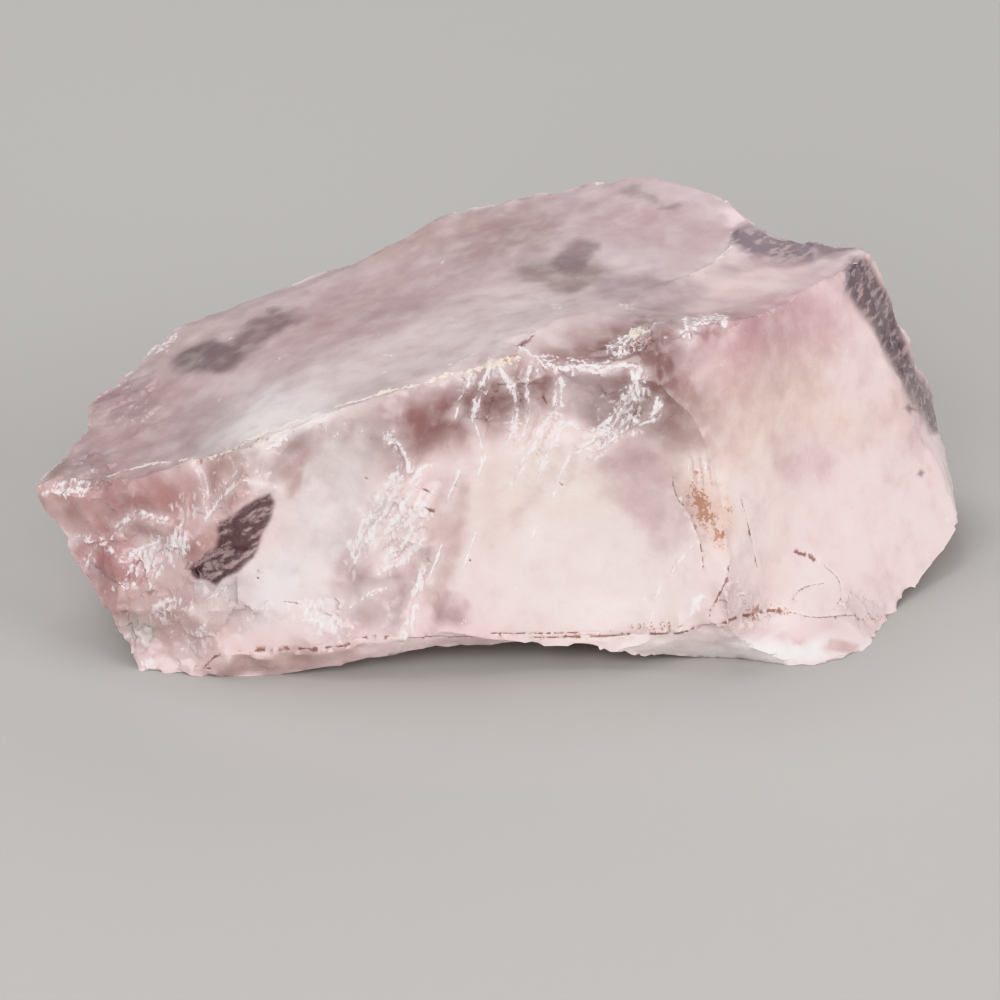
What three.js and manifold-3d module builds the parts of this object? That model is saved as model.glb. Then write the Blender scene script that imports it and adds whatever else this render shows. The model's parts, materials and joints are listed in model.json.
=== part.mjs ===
// A rough chunk of rose quartz, 70 mm long: one solid piece of massive quartz, knocked out of its vein.
// Quartz has no cleavage, so every face is a conchoidal fracture: a shallow curved sheet with ripples
// round the point that was struck, meeting its neighbours in sharp, chipped ridges.
// The block below is larger than the chunk, and each fracture takes away what lies outside its sheet.
// Millimetres, +Z up. X runs along the chunk, Y from the front to the back, and Z = 0 is the surface it
// rests on. While it is cut, Y = 0 is the foot at the front left; at the end the origin moves to the
// bottom centre of the finished chunk.
import * as THREE from "three";
import { mergeVertices } from "three/addons/utils/BufferGeometryUtils.js";
import Module from "manifold-3d";

const LENGTH = 70; // from the left tip to the right tip
const DEPTH = 38;
const HEIGHT = 27;
const SHEET_REACH = 62; // half the width of a fracture sheet, enough to pass right through the block
const SPREAD = 9; // how far one ridge point bends the sheets that pass through it
const SLACK = 0.02; // how loosely a sheet follows its points
const SWELL = 0.16; // height of the gentle swell in every sheet
const BOWL_REACH = 2.2; // half the width of a bowl's tool, in radii
const LID = 18; // how far a bowl's tool reaches out of the stone, in depths

// Points on the ridges. Two or more fractures pass through each of them.
const ridge = {
  // the front ridge, from the left tip to the crown at the back right
  leftTip: [-34.7, 8.1, 12.1],
  tipRidge: [-29.8, 4.3, 15.0],
  leftRidge: [-24.5, 2.9, 16.5],
  shoulder: [-18.9, -0.4, 19.1],
  frontRidgeA: [-10.7, 0.4, 22.3],
  frontRidgeB: [-4.0, 1.3, 24.2],
  frontRidgeC: [1.9, 2.5, 25.9],
  peak: [10.8, 3.9, 26.7],
  nose: [16.8, 5.3, 26.7],
  rimA: [21.0, 11.1, 25.9],
  rimB: [22.7, 14.3, 25.5],
  rimC: [26.8, 19.2, 25.6],
  crown: [29.1, 21.0, 25.3],
  // the left end, from the tip down to the front left foot
  leftEdgeA: [-33.4, 6.0, 9.3],
  leftEdgeB: [-30.9, 4.3, 6.2],
  leftEdgeC: [-28.0, 1.6, 2.3],
  leftFootA: [-25.8, 0.8, 0.6],
  leftFoot: [-22.8, 0.0, 0.2],
  // the sill, where the front face turns under
  sillA: [-21.7, -0.6, 1.9],
  sillB: [-10.8, -0.5, 2.6],
  sillC: [3.4, 0.0, 3.2],
  sillD: [13.9, 0.8, 3.0],
  noseFoot: [17.6, 0.3, 4.1],
  sillE: [23.1, 4.5, 2.4],
  underL: [-16.8, 0.2, 0.8],
  underM: [1.9, 1.5, 2.2],
  underR: [14.3, 2.0, 1.8],
  toeA: [18.2, 3.2, 0.4],
  toeB: [21.6, 2.3, 0.0],
  toeC: [25.4, 2.1, 0.0],
  toeD: [27.3, 4.4, 0.0],
  toeE: [28.7, 7.2, 0.0],
  // the blunt ridge from the front one down to the sill, where the front face turns into the right one
  browA: [11.9, 3.7, 26.2],
  browB: [11.8, 1.9, 22.7],
  browC: [12.9, 0.7, 18.6],
  beyond: [20.5, 0.6, 21.0],
  noseMid: [15.6, 0.2, 12.5],
  noseLow: [17.6, -0.4, 7.6],
  // the right end
  rightEdgeA: [28.5, 18.8, 19.4],
  rightEdgeB: [31.1, 19.7, 14.0],
  rightEdgeC: [33.5, 20.5, 8.6],
  rightTip: [35.3, 20.4, 3.6],
  rightLow: [34.7, 19.1, 2.5],
  rightBase: [31.1, 12.7, 0.3],
  rightHollow: [26.2, 13.3, 12.8],
  farEdgeA: [30.4, 22.4, 21.9],
  farEdgeB: [32.5, 25.9, 14.5],
  farEdgeC: [34.4, 28.6, 7.4],
  farEdgeD: [34.8, 26.6, 4.5],
  farBase: [33.6, 31.0, 2.6],
  // the back rim of the top face
  backTip: [-31.0, 16.2, 13.5],
  backRimA: [-30.6, 20.1, 13.8],
  backRimB: [-27.1, 25.7, 15.0],
  backRimC: [-25.2, 27.8, 16.0],
  backRimD: [-19.5, 29.7, 18.5],
  backRimE: [-14.9, 31.4, 20.0],
  backRimF: [-11.1, 30.5, 21.0],
  backRimG: [-7.3, 32.2, 23.0],
  backRimH: [-2.7, 33.0, 24.3],
  backRimI: [2.7, 33.1, 25.3],
  backRimJ: [8.0, 33.2, 26.3],
  backRimK: [11.1, 32.7, 26.8],
  backRimL: [15.7, 30.5, 26.5],
  backRimM: [17.9, 29.0, 26.5],
  backRimN: [20.5, 26.3, 26.0],
  backRimO: [26.9, 24.0, 25.5],
  // the underside: it dips below Z = 0 at the feet, which are flat there, and rises between them
  footA: [-22.5, 5.0, -0.5],
  footB: [24.5, 7.5, -0.5],
  footC: [20.0, 32.5, -0.4],
  footD: [-12.0, 30.5, -0.5],
  archA: [0.0, 18.0, 1.3],
  archB: [-16.0, 16.0, 0.7],
  archC: [14.0, 21.0, 1.1],
  archD: [5.0, 33.5, 0.8],
  archE: [30.0, 22.0, 0.7],
  archF: [-21.0, 23.0, 0.9],
  // the foot of the hidden sides
  leftBase: [-25.0, 16.0, 0.0],
  backBaseA: [-22.0, 27.0, 0.0],
  backBaseB: [-12.0, 34.5, 0.0],
  backBaseC: [8.0, 36.5, 0.0],
  backBaseD: [24.0, 36.8, 0.0],
};

// The main fractures. facing is roughly the way the face looks, struck the ridge point that its
// ripples run round, ripple their height, and grid the spacing of its points.
const fractures = [
  {
    name: "top",
    facing: [-0.1, 0.03, 1],
    through: [
      "leftTip", "tipRidge", "leftRidge", "shoulder", "frontRidgeA", "frontRidgeB", "frontRidgeC",
      "peak", "nose", "rimA", "rimB", "rimC", "crown", "backTip", "backRimA", "backRimB", "backRimC",
      "backRimD", "backRimE", "backRimF", "backRimG", "backRimH", "backRimI", "backRimJ", "backRimK",
      "backRimL", "backRimM", "backRimN", "backRimO",
    ],
    curved: true,
    struck: "nose",
    ripple: 0.1,
    grid: 2.5,
  },
  {
    name: "front",
    facing: [0, -1, 0.05],
    through: [
      "shoulder", "frontRidgeA", "frontRidgeB", "frontRidgeC", "peak", "browA", "browB", "browC",
      "beyond", "noseMid", "noseLow", "noseFoot", "sillA", "sillB", "sillC", "sillD",
    ],
    struck: "peak",
    ripple: 0.1,
    grid: 1.9,
  },
  {
    name: "left front",
    facing: [-0.52, -0.85, 0.06],
    through: [
      "leftTip", "tipRidge", "leftRidge", "shoulder", "leftEdgeA", "leftEdgeB", "leftEdgeC",
      "leftFootA", "leftFoot", "sillA",
    ],
    struck: "leftTip",
    ripple: 0.14,
    grid: 1.8,
  },
  {
    name: "right",
    facing: [0.79, -0.54, 0.28],
    through: [
      "browA", "browB", "browC", "nose", "rimA", "rimB", "rimC", "rightEdgeA", "rightEdgeB",
      "rightEdgeC", "rightTip", "rightLow", "rightBase", "noseMid", "noseLow", "noseFoot", "sillE",
      "toeB", "toeC", "toeD", "toeE", "rightHollow",
    ],
    struck: "rimC",
    ripple: 0.08,
    grid: 1.9,
  },
  {
    name: "far right",
    facing: [0.91, -0.23, 0.33],
    through: [
      "rimC", "crown", "rightEdgeA", "rightEdgeB", "rightEdgeC", "rightTip", "farEdgeA", "farEdgeB",
      "farEdgeC", "farEdgeD",
    ],
    struck: "crown",
    ripple: 0.14,
    grid: 1.9,
  },
  {
    name: "sill",
    facing: [0, -0.6, -0.8],
    through: [
      "sillA", "sillB", "sillC", "sillD", "noseFoot", "underL", "underM", "underR", "toeA", "toeB",
      "leftFoot",
    ],
    struck: "underM",
    ripple: 0.05,
    grid: 1.9,
  },
  {
    name: "underside",
    facing: [0, 0, -1],
    through: [
      "footA", "footB", "footC", "footD", "archA", "archB", "archC", "archD", "archE", "archF",
    ],
    struck: "footB",
    ripple: 0.15,
    grid: 2.7,
  },
  {
    name: "right underside",
    facing: [0.6, 0.1, -0.8],
    through: ["rightTip", "rightLow", "rightBase", "farBase"],
    struck: "rightTip",
    ripple: 0.1,
    grid: 2.7,
  },
  {
    name: "left back",
    facing: [-0.7, 0.3, -0.6],
    through: ["leftTip", "leftEdgeA", "leftEdgeB", "leftEdgeC", "backTip", "backRimA", "leftBase"],
    struck: "backRimA",
    ripple: 0.2,
    grid: 2.7,
  },
  {
    name: "back left",
    facing: [-0.65, 0.75, -0.1],
    through: ["backRimA", "backRimB", "backRimC", "backRimD", "backBaseA", "backBaseB", "leftBase"],
    struck: "backRimC",
    ripple: 0.22,
    grid: 2.7,
  },
  {
    name: "back",
    facing: [-0.05, 1, -0.05],
    through: [
      "backRimD", "backRimE", "backRimG", "backRimI", "backRimJ", "backRimK", "backBaseB",
      "backBaseC", "backBaseD",
    ],
    struck: "backRimK",
    ripple: 0.22,
    grid: 2.7,
  },
  {
    name: "back right",
    facing: [0.48, 0.78, 0.4],
    through: [
      "backRimK", "backRimL", "backRimM", "backRimN", "backRimO", "crown", "farEdgeA", "farEdgeB",
      "farEdgeC", "farEdgeD", "farBase", "backBaseD",
    ],
    struck: "backRimM",
    ripple: 0.22,
    grid: 2.7,
  },
];

// Shallow bowls that later blows knocked out of the faces. at is the bowl's centre on the face, radii
// its half length and half width at the rim, and turn the angle of its length in degrees, as seen by
// someone who looks at the face.
const bowls = [
  // front: the broad hollow, the smaller one left of it, and the triangle under the ridge
  { at: [7.2, 0.9, 12.0], facing: [0.02, -1, 0.06], radii: [12.4, 11.6], turn: 0, depth: 2.9, grid: 1.7 },
  { at: [-12.6, -0.3, 12.2], facing: [-0.1, -1, 0.08], radii: [8.6, 5.4], turn: 72, depth: 1.9, grid: 1.5 },
  { at: [6.4, 2.4, 21.4], facing: [0.02, -1, -0.16], radii: [5.8, 4.2], turn: 16, depth: 1.2, grid: 1.4 },
  { at: [-15.2, -0.6, 4.6], facing: [-0.1, -0.97, -0.1], radii: [5.2, 2.4], turn: 12, depth: 0.6, grid: 1.3 },
  // front: the slanting ledges between the two hollows and below the ridge
  { at: [-7.8, 0.3, 15.0], facing: [-0.3, -0.94, 0.17], radii: [5.0, 1.8], turn: 62, depth: 0.6, grid: 1.3 },
  { at: [-6.0, 0.1, 9.8], facing: [-0.32, -0.94, 0.13], radii: [4.8, 1.6], turn: 68, depth: 0.6, grid: 1.3 },
  { at: [-4.2, -0.2, 6.0], facing: [-0.3, -0.95, 0.08], radii: [4.0, 1.3], turn: 76, depth: 0.5, grid: 1.3 },
  { at: [-2.4, 1.4, 19.4], facing: [-0.2, -0.96, 0.1], radii: [4.6, 1.4], turn: 64, depth: 0.5, grid: 1.3 },
  { at: [2.4, 2.2, 19.0], facing: [-0.26, -0.95, 0.15], radii: [4.0, 1.3], turn: 60, depth: 0.6, grid: 1.3 },
  { at: [9.6, 2.4, 19.0], facing: [-0.22, -0.95, 0.17], radii: [4.6, 1.5], turn: 52, depth: 0.6, grid: 1.3 },
  // left end: the long facet under the ridge, the lens-shaped hollow and the broken lower corner
  { at: [-27.2, 2.9, 12.4], facing: [-0.4, -0.89, -0.08], radii: [7.0, 2.6], turn: 12, depth: 0.6, grid: 1.4 },
  { at: [-19.9, -0.6, 11.0], facing: [-0.42, -0.9, 0.05], radii: [5.2, 2.0], turn: 44, depth: 0.7, grid: 1.2 },
  { at: [-25.8, 1.9, 8.4], facing: [-0.36, -0.92, 0.1], radii: [5.2, 3.2], turn: 62, depth: 0.6, grid: 1.4 },
  { at: [-29.4, 3.5, 7.0], facing: [-0.72, -0.68, 0.05], radii: [4.2, 2.4], turn: -55, depth: 0.5, grid: 1.4 },
  { at: [-24.0, 0.8, 3.8], facing: [-0.4, -0.88, -0.25], radii: [4.2, 2.8], turn: -20, depth: 0.6, grid: 1.4 },
  { at: [-31.9, 6.0, 13.2], facing: [-0.35, -0.75, 0.56], radii: [2.7, 0.9], turn: 8, depth: 0.35, grid: 1.0 },
  { at: [-28.6, 1.9, 1.4], facing: [-0.6, -0.5, -0.62], radii: [3.0, 2.0], turn: 0, depth: 0.6, grid: 1.3 },
  // the lens-shaped chip across the front ridge, and small bright ones beside it
  { at: [6.5, 5.9, 25.4], facing: [0, -0.28, 0.96], radii: [3.1, 3.1], turn: 0, depth: 0.5, grid: 1.3 },
  { at: [-8.2, 0.7, 23.0], facing: [-0.1, -0.75, 0.66], radii: [2.2, 0.8], turn: 14, depth: 0.35, grid: 0.9 },
  { at: [13.6, 4.6, 26.7], facing: [0.1, -0.6, 0.8], radii: [2.2, 1.0], turn: 8, depth: 0.35, grid: 0.9 },
  // right: the shell-shaped flake low on the face, and the streaked strip along its far edge
  { at: [24.4, 6.8, 4.5], facing: [0.6, -0.7, 0.38], radii: [2.2, 1.8], turn: 0, depth: 0.3, grid: 0.9 },
  { at: [31.8, 22.6, 15.6], facing: [0.88, -0.33, 0.35], radii: [6.4, 2.2], turn: -72, depth: 0.5, grid: 1.4 },
  // top: the step behind the nose, the grey patch at the crown, the left slope and the back rim
  { at: [18.4, 14.6, 25.8], facing: [0.06, 0.02, 1], radii: [9.4, 4.8], turn: 54, depth: 0.7, grid: 2.0 },
  { at: [23.2, 24.2, 25.6], facing: [0.25, 0.5, 0.83], radii: [4.6, 2.4], turn: -20, depth: 0.8, grid: 1.6 },
  { at: [-25.0, 11.4, 15.8], facing: [-0.36, 0, 0.93], radii: [8.6, 7.0], turn: 60, depth: 0.6, grid: 2.2 },
  { at: [-16.6, 28.8, 19.4], facing: [-0.34, 0.3, 0.89], radii: [12.4, 3.4], turn: 16, depth: 0.8, grid: 2.1 },
  { at: [-10.6, 31.2, 20.8], facing: [-0.2, 0.6, 0.78], radii: [3.6, 2.0], turn: 10, depth: 0.7, grid: 1.6 },
  // back and ends, which the photograph does not show
  { at: [-3.5, 34.3, 13.5], facing: [-0.12, 1, 0.1], radii: [12.5, 8.6], turn: 24, depth: 2.2, grid: 2.4 },
  { at: [14.5, 36.0, 11.0], facing: [0.2, 0.97, -0.06], radii: [10.6, 7.2], turn: -58, depth: 1.7, grid: 2.4 },
  { at: [-19.5, 30.2, 9.5], facing: [-0.5, 0.84, 0], radii: [9.0, 6.0], turn: 35, depth: 1.4, grid: 2.4 },
  { at: [-29.6, 14.2, 8.0], facing: [-0.8, 0.2, -0.5], radii: [7.2, 5.0], turn: 20, depth: 1.0, grid: 2.2 },
  { at: [28.4, 30.6, 13.4], facing: [0.4, 0.8, 0.42], radii: [9.6, 6.0], turn: 64, depth: 1.3, grid: 2.4 },
  { at: [3.0, 35.6, 2.6], facing: [0, 0.86, -0.5], radii: [11.0, 3.0], turn: 4, depth: 0.9, grid: 2.2 },
  { at: [3.0, 34.2, 19.6], facing: [0.05, 0.96, 0.2], radii: [7.0, 3.8], turn: -14, depth: 0.9, grid: 2.0 },
  { at: [33.2, 22.4, 1.8], facing: [0.6, 0.1, -0.8], radii: [5.6, 3.0], turn: 80, depth: 0.6, grid: 2.0 },
  // underside: the arch behind the sill, and two smaller hollows
  { at: [1.0, 6.5, 0], facing: [0, -0.06, -1], radii: [18.0, 12.0], turn: 0, depth: 2.3, grid: 2.8 },
  { at: [-8.0, 22.0, 1.0], facing: [0, 0, -1], radii: [11.5, 6.6], turn: -14, depth: 0.9, grid: 2.8 },
  { at: [21.0, 22.5, 1.0], facing: [0.05, 0, -1], radii: [9.0, 5.4], turn: 24, depth: 0.7, grid: 2.8 },
];

// Ridges that carry a row of small chips: the way the bites face, and the points they run between.
const chippedRidges = [
  { facing: [-0.3, -0.7, 0.7], along: ["leftTip", "tipRidge", "leftRidge", "shoulder"] },
  { facing: [-0.1, -0.7, 0.7], along: ["shoulder", "frontRidgeA", "frontRidgeB", "frontRidgeC", "peak"] },
  { facing: [0.5, -0.4, 0.77], along: ["nose", "rimA", "rimB", "rimC"] },
  { facing: [0.6, 0.3, 0.74], along: ["backRimM", "backRimN", "backRimO", "crown"] },
  { facing: [0.85, 0.3, 0.3], along: ["crown", "farEdgeA", "farEdgeB", "farEdgeC"] },
  { facing: [-0.3, 0.7, 0.6], along: ["backRimA", "backRimB", "backRimC", "backRimD", "backRimE"] },
  { facing: [-0.1, 0.7, 0.7], along: ["backRimF", "backRimG", "backRimH", "backRimI", "backRimJ"] },
  { facing: [0.1, -0.85, -0.5], along: ["sillA", "sillB", "sillC", "sillD", "noseFoot"] },
  { facing: [-0.85, -0.3, -0.4], along: ["leftTip", "leftEdgeA", "leftEdgeB", "leftEdgeC"] },
];
const CHIP_STEP = 4.2;
const CHIP_RADIUS = [1.1, 2.3];
const CHIP_BITE = [0.2, 0.55];

const wasm = await Module();
wasm.setup();

function solidOf(geometry) {
  geometry.deleteAttribute("normal");
  geometry.deleteAttribute("uv");
  const merged = mergeVertices(geometry);
  return new wasm.Manifold(
    new wasm.Mesh({
      numProp: 3,
      vertProperties: merged.attributes.position.array,
      triVerts: merged.index.array,
    }),
  );
}

// Solves the square system rows * x = values by elimination.
function solve(rows, values) {
  const n = rows.length;
  const m = rows.map((row, i) => [...row, values[i]]);
  for (let c = 0; c < n; c++) {
    let pivot = c;
    for (let r = c + 1; r < n; r++) if (Math.abs(m[r][c]) > Math.abs(m[pivot][c])) pivot = r;
    [m[c], m[pivot]] = [m[pivot], m[c]];
    for (let r = 0; r < n; r++) {
      if (r === c) continue;
      const share = m[r][c] / m[c][c];
      for (let k = c; k <= n; k++) m[r][k] -= share * m[c][k];
    }
  }
  return m.map((row, i) => row[n] / row[i]);
}

// A frame that looks along facing, turned about it by so many degrees.
function frameAt(origin, facing, turn = 0) {
  const out = new THREE.Vector3(...facing).normalize();
  const side = Math.abs(out.z) > 0.8 ? new THREE.Vector3(0, 1, 0) : new THREE.Vector3(0, 0, 1);
  const across = side.clone().cross(out).normalize();
  const up = out.clone().cross(across);
  const spin = new THREE.Quaternion().setFromAxisAngle(out, THREE.MathUtils.degToRad(turn));
  across.applyQuaternion(spin);
  up.applyQuaternion(spin);
  return new THREE.Matrix4().makeBasis(across, up, out).setPosition(origin);
}

// The closed tool that takes away everything above height(u, v): a grid of columns with a flat lid.
function sheetTool(frame, height, reachU, reachV, lid, grid) {
  const nu = Math.ceil((2 * reachU) / grid);
  const nv = Math.ceil((2 * reachV) / grid);
  const tool = new THREE.BoxGeometry(1, 1, 1, nu, nv, 1);
  const at = tool.attributes.position;
  for (let i = 0; i < at.count; i++) {
    const u = 2 * reachU * at.getX(i);
    const v = 2 * reachV * at.getY(i);
    at.setXYZ(i, u, v, at.getZ(i) > 0 ? lid : height(u, v));
  }
  return solidOf(tool.applyMatrix4(frame));
}

function fractureTool({ facing, through, curved, struck, ripple, grid }, index) {
  const points = through.map((name) => new THREE.Vector3(...ridge[name]));
  const centre = points.reduce((sum, p) => sum.add(p), new THREE.Vector3()).divideScalar(points.length);
  const frame = frameAt(centre, facing);
  const inward = frame.clone().invert();
  const local = points.map((p) => p.clone().applyMatrix4(inward));
  // Least squares gives the sheet's overall lie.
  const terms = (u, v) => (curved ? [1, u, v, u * u, u * v, v * v] : [1, u, v]);
  const rows = local.map((p) => terms(p.x, p.y));
  const square = rows[0].map((_, i) => rows[0].map((_, j) => rows.reduce((s, r) => s + r[i] * r[j], 0)));
  const right = rows[0].map((_, i) => rows.reduce((s, r, k) => s + r[i] * local[k].z, 0));
  const lie = solve(square, right);
  const plain = (u, v) => terms(u, v).reduce((s, t, i) => s + t * lie[i], 0);
  // A smooth bump or dip at each point then brings the sheet onto it.
  const pull = (a, b, c, d) => Math.exp(-((a - c) ** 2 + (b - d) ** 2) / SPREAD ** 2);
  const bends = solve(
    local.map((p, i) => local.map((q, j) => pull(p.x, p.y, q.x, q.y) + (i === j ? SLACK : 0))),
    local.map((p) => p.z - plain(p.x, p.y)),
  );
  const source = new THREE.Vector3(...ridge[struck]).applyMatrix4(inward);
  const height = (u, v) => {
    const far = Math.hypot(u - source.x, v - source.y);
    const wave = ripple * Math.sin(far / (0.8 + 0.035 * far)) * Math.exp(-far / 30);
    const swell = SWELL * Math.sin(u / 3.1 + index) * Math.sin(v / 2.7 + 2 * index);
    return plain(u, v) + wave + swell + local.reduce((s, p, i) => s + bends[i] * pull(u, v, p.x, p.y), 0);
  };
  return sheetTool(frame, height, SHEET_REACH, SHEET_REACH, SHEET_REACH, grid);
}

// A bowl whose rim wanders in and out, with faint ripples round the blow at one end of its length.
function bowlTool({ at, facing, radii, depth, turn, grid }, index) {
  const frame = frameAt(new THREE.Vector3(...at), facing, turn);
  const height = (u, v) => {
    const angle = Math.atan2(v / radii[1], u / radii[0]);
    const rim = 1 + 0.12 * Math.sin(2 * angle + index) + 0.1 * Math.sin(3 * angle + 2 * index);
    const share = Math.hypot(u / radii[0], v / radii[1]) / rim;
    const far = Math.hypot(u - radii[0], v);
    return depth * (share ** 2 - 1) + 0.03 * depth * Math.sin((5 * far) / radii[1]);
  };
  return sheetTool(frame, height, BOWL_REACH * radii[0], BOWL_REACH * radii[1], LID * depth, grid);
}

// Two steady numbers from 0 to 1 for each chip, so that the chips look random and never change.
const scatter = (n) => [0.618034, 0.754878].map((share) => (n * share) % 1);

function chipTools() {
  const chips = [];
  for (const { facing, along } of chippedRidges) {
    const path = new THREE.CurvePath();
    for (let i = 1; i < along.length; i++) {
      const ends = [along[i - 1], along[i]].map((name) => new THREE.Vector3(...ridge[name]));
      path.add(new THREE.LineCurve3(...ends));
    }
    const count = Math.round(path.getLength() / CHIP_STEP);
    const out = new THREE.Vector3(...facing).normalize();
    for (let i = 0; i < count; i++) {
      const [a, b] = scatter(chips.length + 1);
      const radius = THREE.MathUtils.lerp(...CHIP_RADIUS, a);
      const bite = THREE.MathUtils.lerp(...CHIP_BITE, b);
      const centre = path.getPointAt((i + 0.15 + 0.7 * a) / count).addScaledVector(out, radius - bite);
      const ball = new THREE.IcosahedronGeometry(radius, 1);
      ball.rotateX(6 * a).rotateY(6 * b).translate(centre.x, centre.y, centre.z);
      chips.push(solidOf(ball));
    }
  }
  return chips;
}

const block = new THREE.BoxGeometry(1.3 * LENGTH, 1.5 * DEPTH, 1.3 * HEIGHT);
block.translate(0, 0.5 * DEPTH - 2, 0.65 * HEIGHT);
let chunk = solidOf(block);
const tools = [...fractures.map(fractureTool), ...bowls.map(bowlTool), ...chipTools()];
for (const tool of tools) chunk = chunk.subtract(tool);

const cut = chunk.getMesh();
const stone = new THREE.BufferGeometry();
stone.setAttribute("position", new THREE.BufferAttribute(cut.vertProperties, 3));
stone.setIndex(new THREE.BufferAttribute(cut.triVerts, 1));
stone.computeBoundingBox();
const middle = stone.boundingBox.getCenter(new THREE.Vector3());
stone.translate(-middle.x, -middle.y, -stone.boundingBox.min.z);

const roseQuartz = new THREE.MeshStandardMaterial({ color: 0xdbc2c0, roughness: 0.35, metalness: 0 });
const mesh = new THREE.Mesh(stone, roseQuartz);
mesh.name = "rose_quartz_chunk";
const group = new THREE.Group();
group.add(mesh);

export default group;
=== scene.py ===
# A rough chunk of rose quartz, 70 mm long, on a pale floor. Blender 4.5, metres, +Z up.
import json
import math
import random

import bmesh
import bpy
import numpy as np
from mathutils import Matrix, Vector, noise
from mathutils.bvhtree import BVHTree
from mathutils.kdtree import KDTree

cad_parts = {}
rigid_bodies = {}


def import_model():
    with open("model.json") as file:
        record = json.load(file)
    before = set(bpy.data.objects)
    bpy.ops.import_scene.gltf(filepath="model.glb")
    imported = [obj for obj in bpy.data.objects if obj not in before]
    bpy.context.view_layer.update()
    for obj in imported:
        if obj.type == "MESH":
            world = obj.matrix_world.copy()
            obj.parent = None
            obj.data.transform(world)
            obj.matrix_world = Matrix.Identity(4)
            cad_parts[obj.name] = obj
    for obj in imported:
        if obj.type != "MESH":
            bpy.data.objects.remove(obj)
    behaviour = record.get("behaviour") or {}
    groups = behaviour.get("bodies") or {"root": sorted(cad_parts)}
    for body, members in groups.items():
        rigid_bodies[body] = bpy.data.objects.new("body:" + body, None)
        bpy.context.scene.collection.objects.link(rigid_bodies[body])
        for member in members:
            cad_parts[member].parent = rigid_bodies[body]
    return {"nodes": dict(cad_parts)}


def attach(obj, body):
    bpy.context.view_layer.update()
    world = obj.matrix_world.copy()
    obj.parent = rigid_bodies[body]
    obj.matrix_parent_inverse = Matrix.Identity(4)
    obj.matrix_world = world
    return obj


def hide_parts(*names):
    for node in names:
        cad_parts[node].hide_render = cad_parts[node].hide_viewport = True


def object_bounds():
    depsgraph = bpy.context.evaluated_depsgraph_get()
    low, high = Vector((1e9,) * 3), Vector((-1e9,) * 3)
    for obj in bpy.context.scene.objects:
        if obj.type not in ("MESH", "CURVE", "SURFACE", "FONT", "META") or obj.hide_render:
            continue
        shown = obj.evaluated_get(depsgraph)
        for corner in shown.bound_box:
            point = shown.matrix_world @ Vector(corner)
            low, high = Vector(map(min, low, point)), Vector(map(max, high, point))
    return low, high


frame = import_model()
cad_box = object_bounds()
MM = 0.001

# The camera
# It looks along +Y and 25 degrees down on the stone, from so far away that sizes hardly shrink. Places
# on the side that the picture shows are given below in its pixels, 13.2 to the millimetre.
LOOK_DOWN = math.radians(25)
CAMERA_DISTANCE = 900 * MM
VIEW_WIDTH = 75.76 * MM  # what the picture's width covers at the aim point
PICTURE = 1000  # pixels each way
AIM = Vector((0.07, -3.13, 7.8)) * MM
SENSOR = 36  # mm, the width that the lens is worked out for
CAMERA_REACH = 20  # metres

camera_data = bpy.data.cameras.new("camera")
camera_data.sensor_width = SENSOR
camera_data.lens = SENSOR * CAMERA_DISTANCE / VIEW_WIDTH
camera_data.clip_end = CAMERA_REACH
camera = bpy.data.objects.new("camera", camera_data)
bpy.context.scene.collection.objects.link(camera)
FORWARD = Vector((0, math.cos(LOOK_DOWN), -math.sin(LOOK_DOWN)))
RIGHT = Vector((1, 0, 0))
UP = RIGHT.cross(FORWARD)
camera.location = AIM - CAMERA_DISTANCE * FORWARD
camera.rotation_euler = (math.radians(90) - LOOK_DOWN, 0, 0)
bpy.context.scene.camera = camera
bpy.context.scene.view_settings.view_transform = "Khronos PBR Neutral"

# The stone
# One piece of massive rose quartz, milky and translucent, broken out of its vein, so that all of its
# skin is conchoidal fracture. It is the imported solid, remeshed and eased so that its facets vanish away
# from the ridges, made finer where small damage lies, and then broken in mesh code.
NODE = "rose_quartz_chunk"
VOXEL = 0.45 * MM
SHARP = math.radians(17)  # facets that meet at more than this make a ridge
RIDGE_GAP = 0.1  # mm between the points that mark the ridges
RIDGE_CORE = 0.25  # mm from a ridge inside which hardly anything is smoothed
RIDGE_SNAP = 0.32  # mm from a ridge inside which the skin is drawn onto it, so that no grid steps show
RIDGE_FADE = 1.5  # mm from a ridge beyond which all of the facets are smoothed away
RIDGE_SNAP_SHARE = 0.75
SMOOTH_STEPS = 34
SMOOTH_ON_RIDGE = 0.14  # the share of the smoothing that a ridge still gets
SOFT_SHADING = math.radians(35)  # faces that meet at less than this are shaded as one


def only(piece):
    """Selects this object alone and makes it the active one."""
    bpy.ops.object.select_all(action="DESELECT")
    piece.select_set(True)
    bpy.context.view_layer.objects.active = piece


def coordinates(mesh):
    """The places of the mesh's vertices, in mm."""
    flat = np.empty(3 * len(mesh.vertices))
    mesh.vertices.foreach_get("co", flat)
    return flat.reshape(-1, 3) / MM


def normals_of(mesh):
    """The mesh's normals at its vertices."""
    flat = np.empty(3 * len(mesh.vertices))
    mesh.vertex_normals.foreach_get("vector", flat)
    return flat.reshape(-1, 3)


def tree_of(points):
    """A tree that finds the nearest of these points."""
    tree = KDTree(len(points))
    for i, point in enumerate(points):
        tree.insert(point, i)
    tree.balance()
    return tree


def far_from(tree, points):
    """How far each point is from the nearest one in the tree."""
    return np.array([tree.find(point)[2] for point in points])


def pulled_onto(tree, points, reach, share):
    """The points, with each that is within reach of one in the tree drawn this share of the way to it."""
    drawn = points.copy()
    for i, point in enumerate(points):
        nearest, _, far = tree.find(point)
        if far < reach:
            drawn[i] += share * (np.array(nearest) - point)
    return drawn


def smoothstep(low, high, x):
    """Rises softly from 0 at low to 1 at high, or falls from 1 to 0 where high is below low."""
    t = np.clip((x - low) / (high - low), 0, 1)
    return t * t * (3 - 2 * t)


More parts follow.
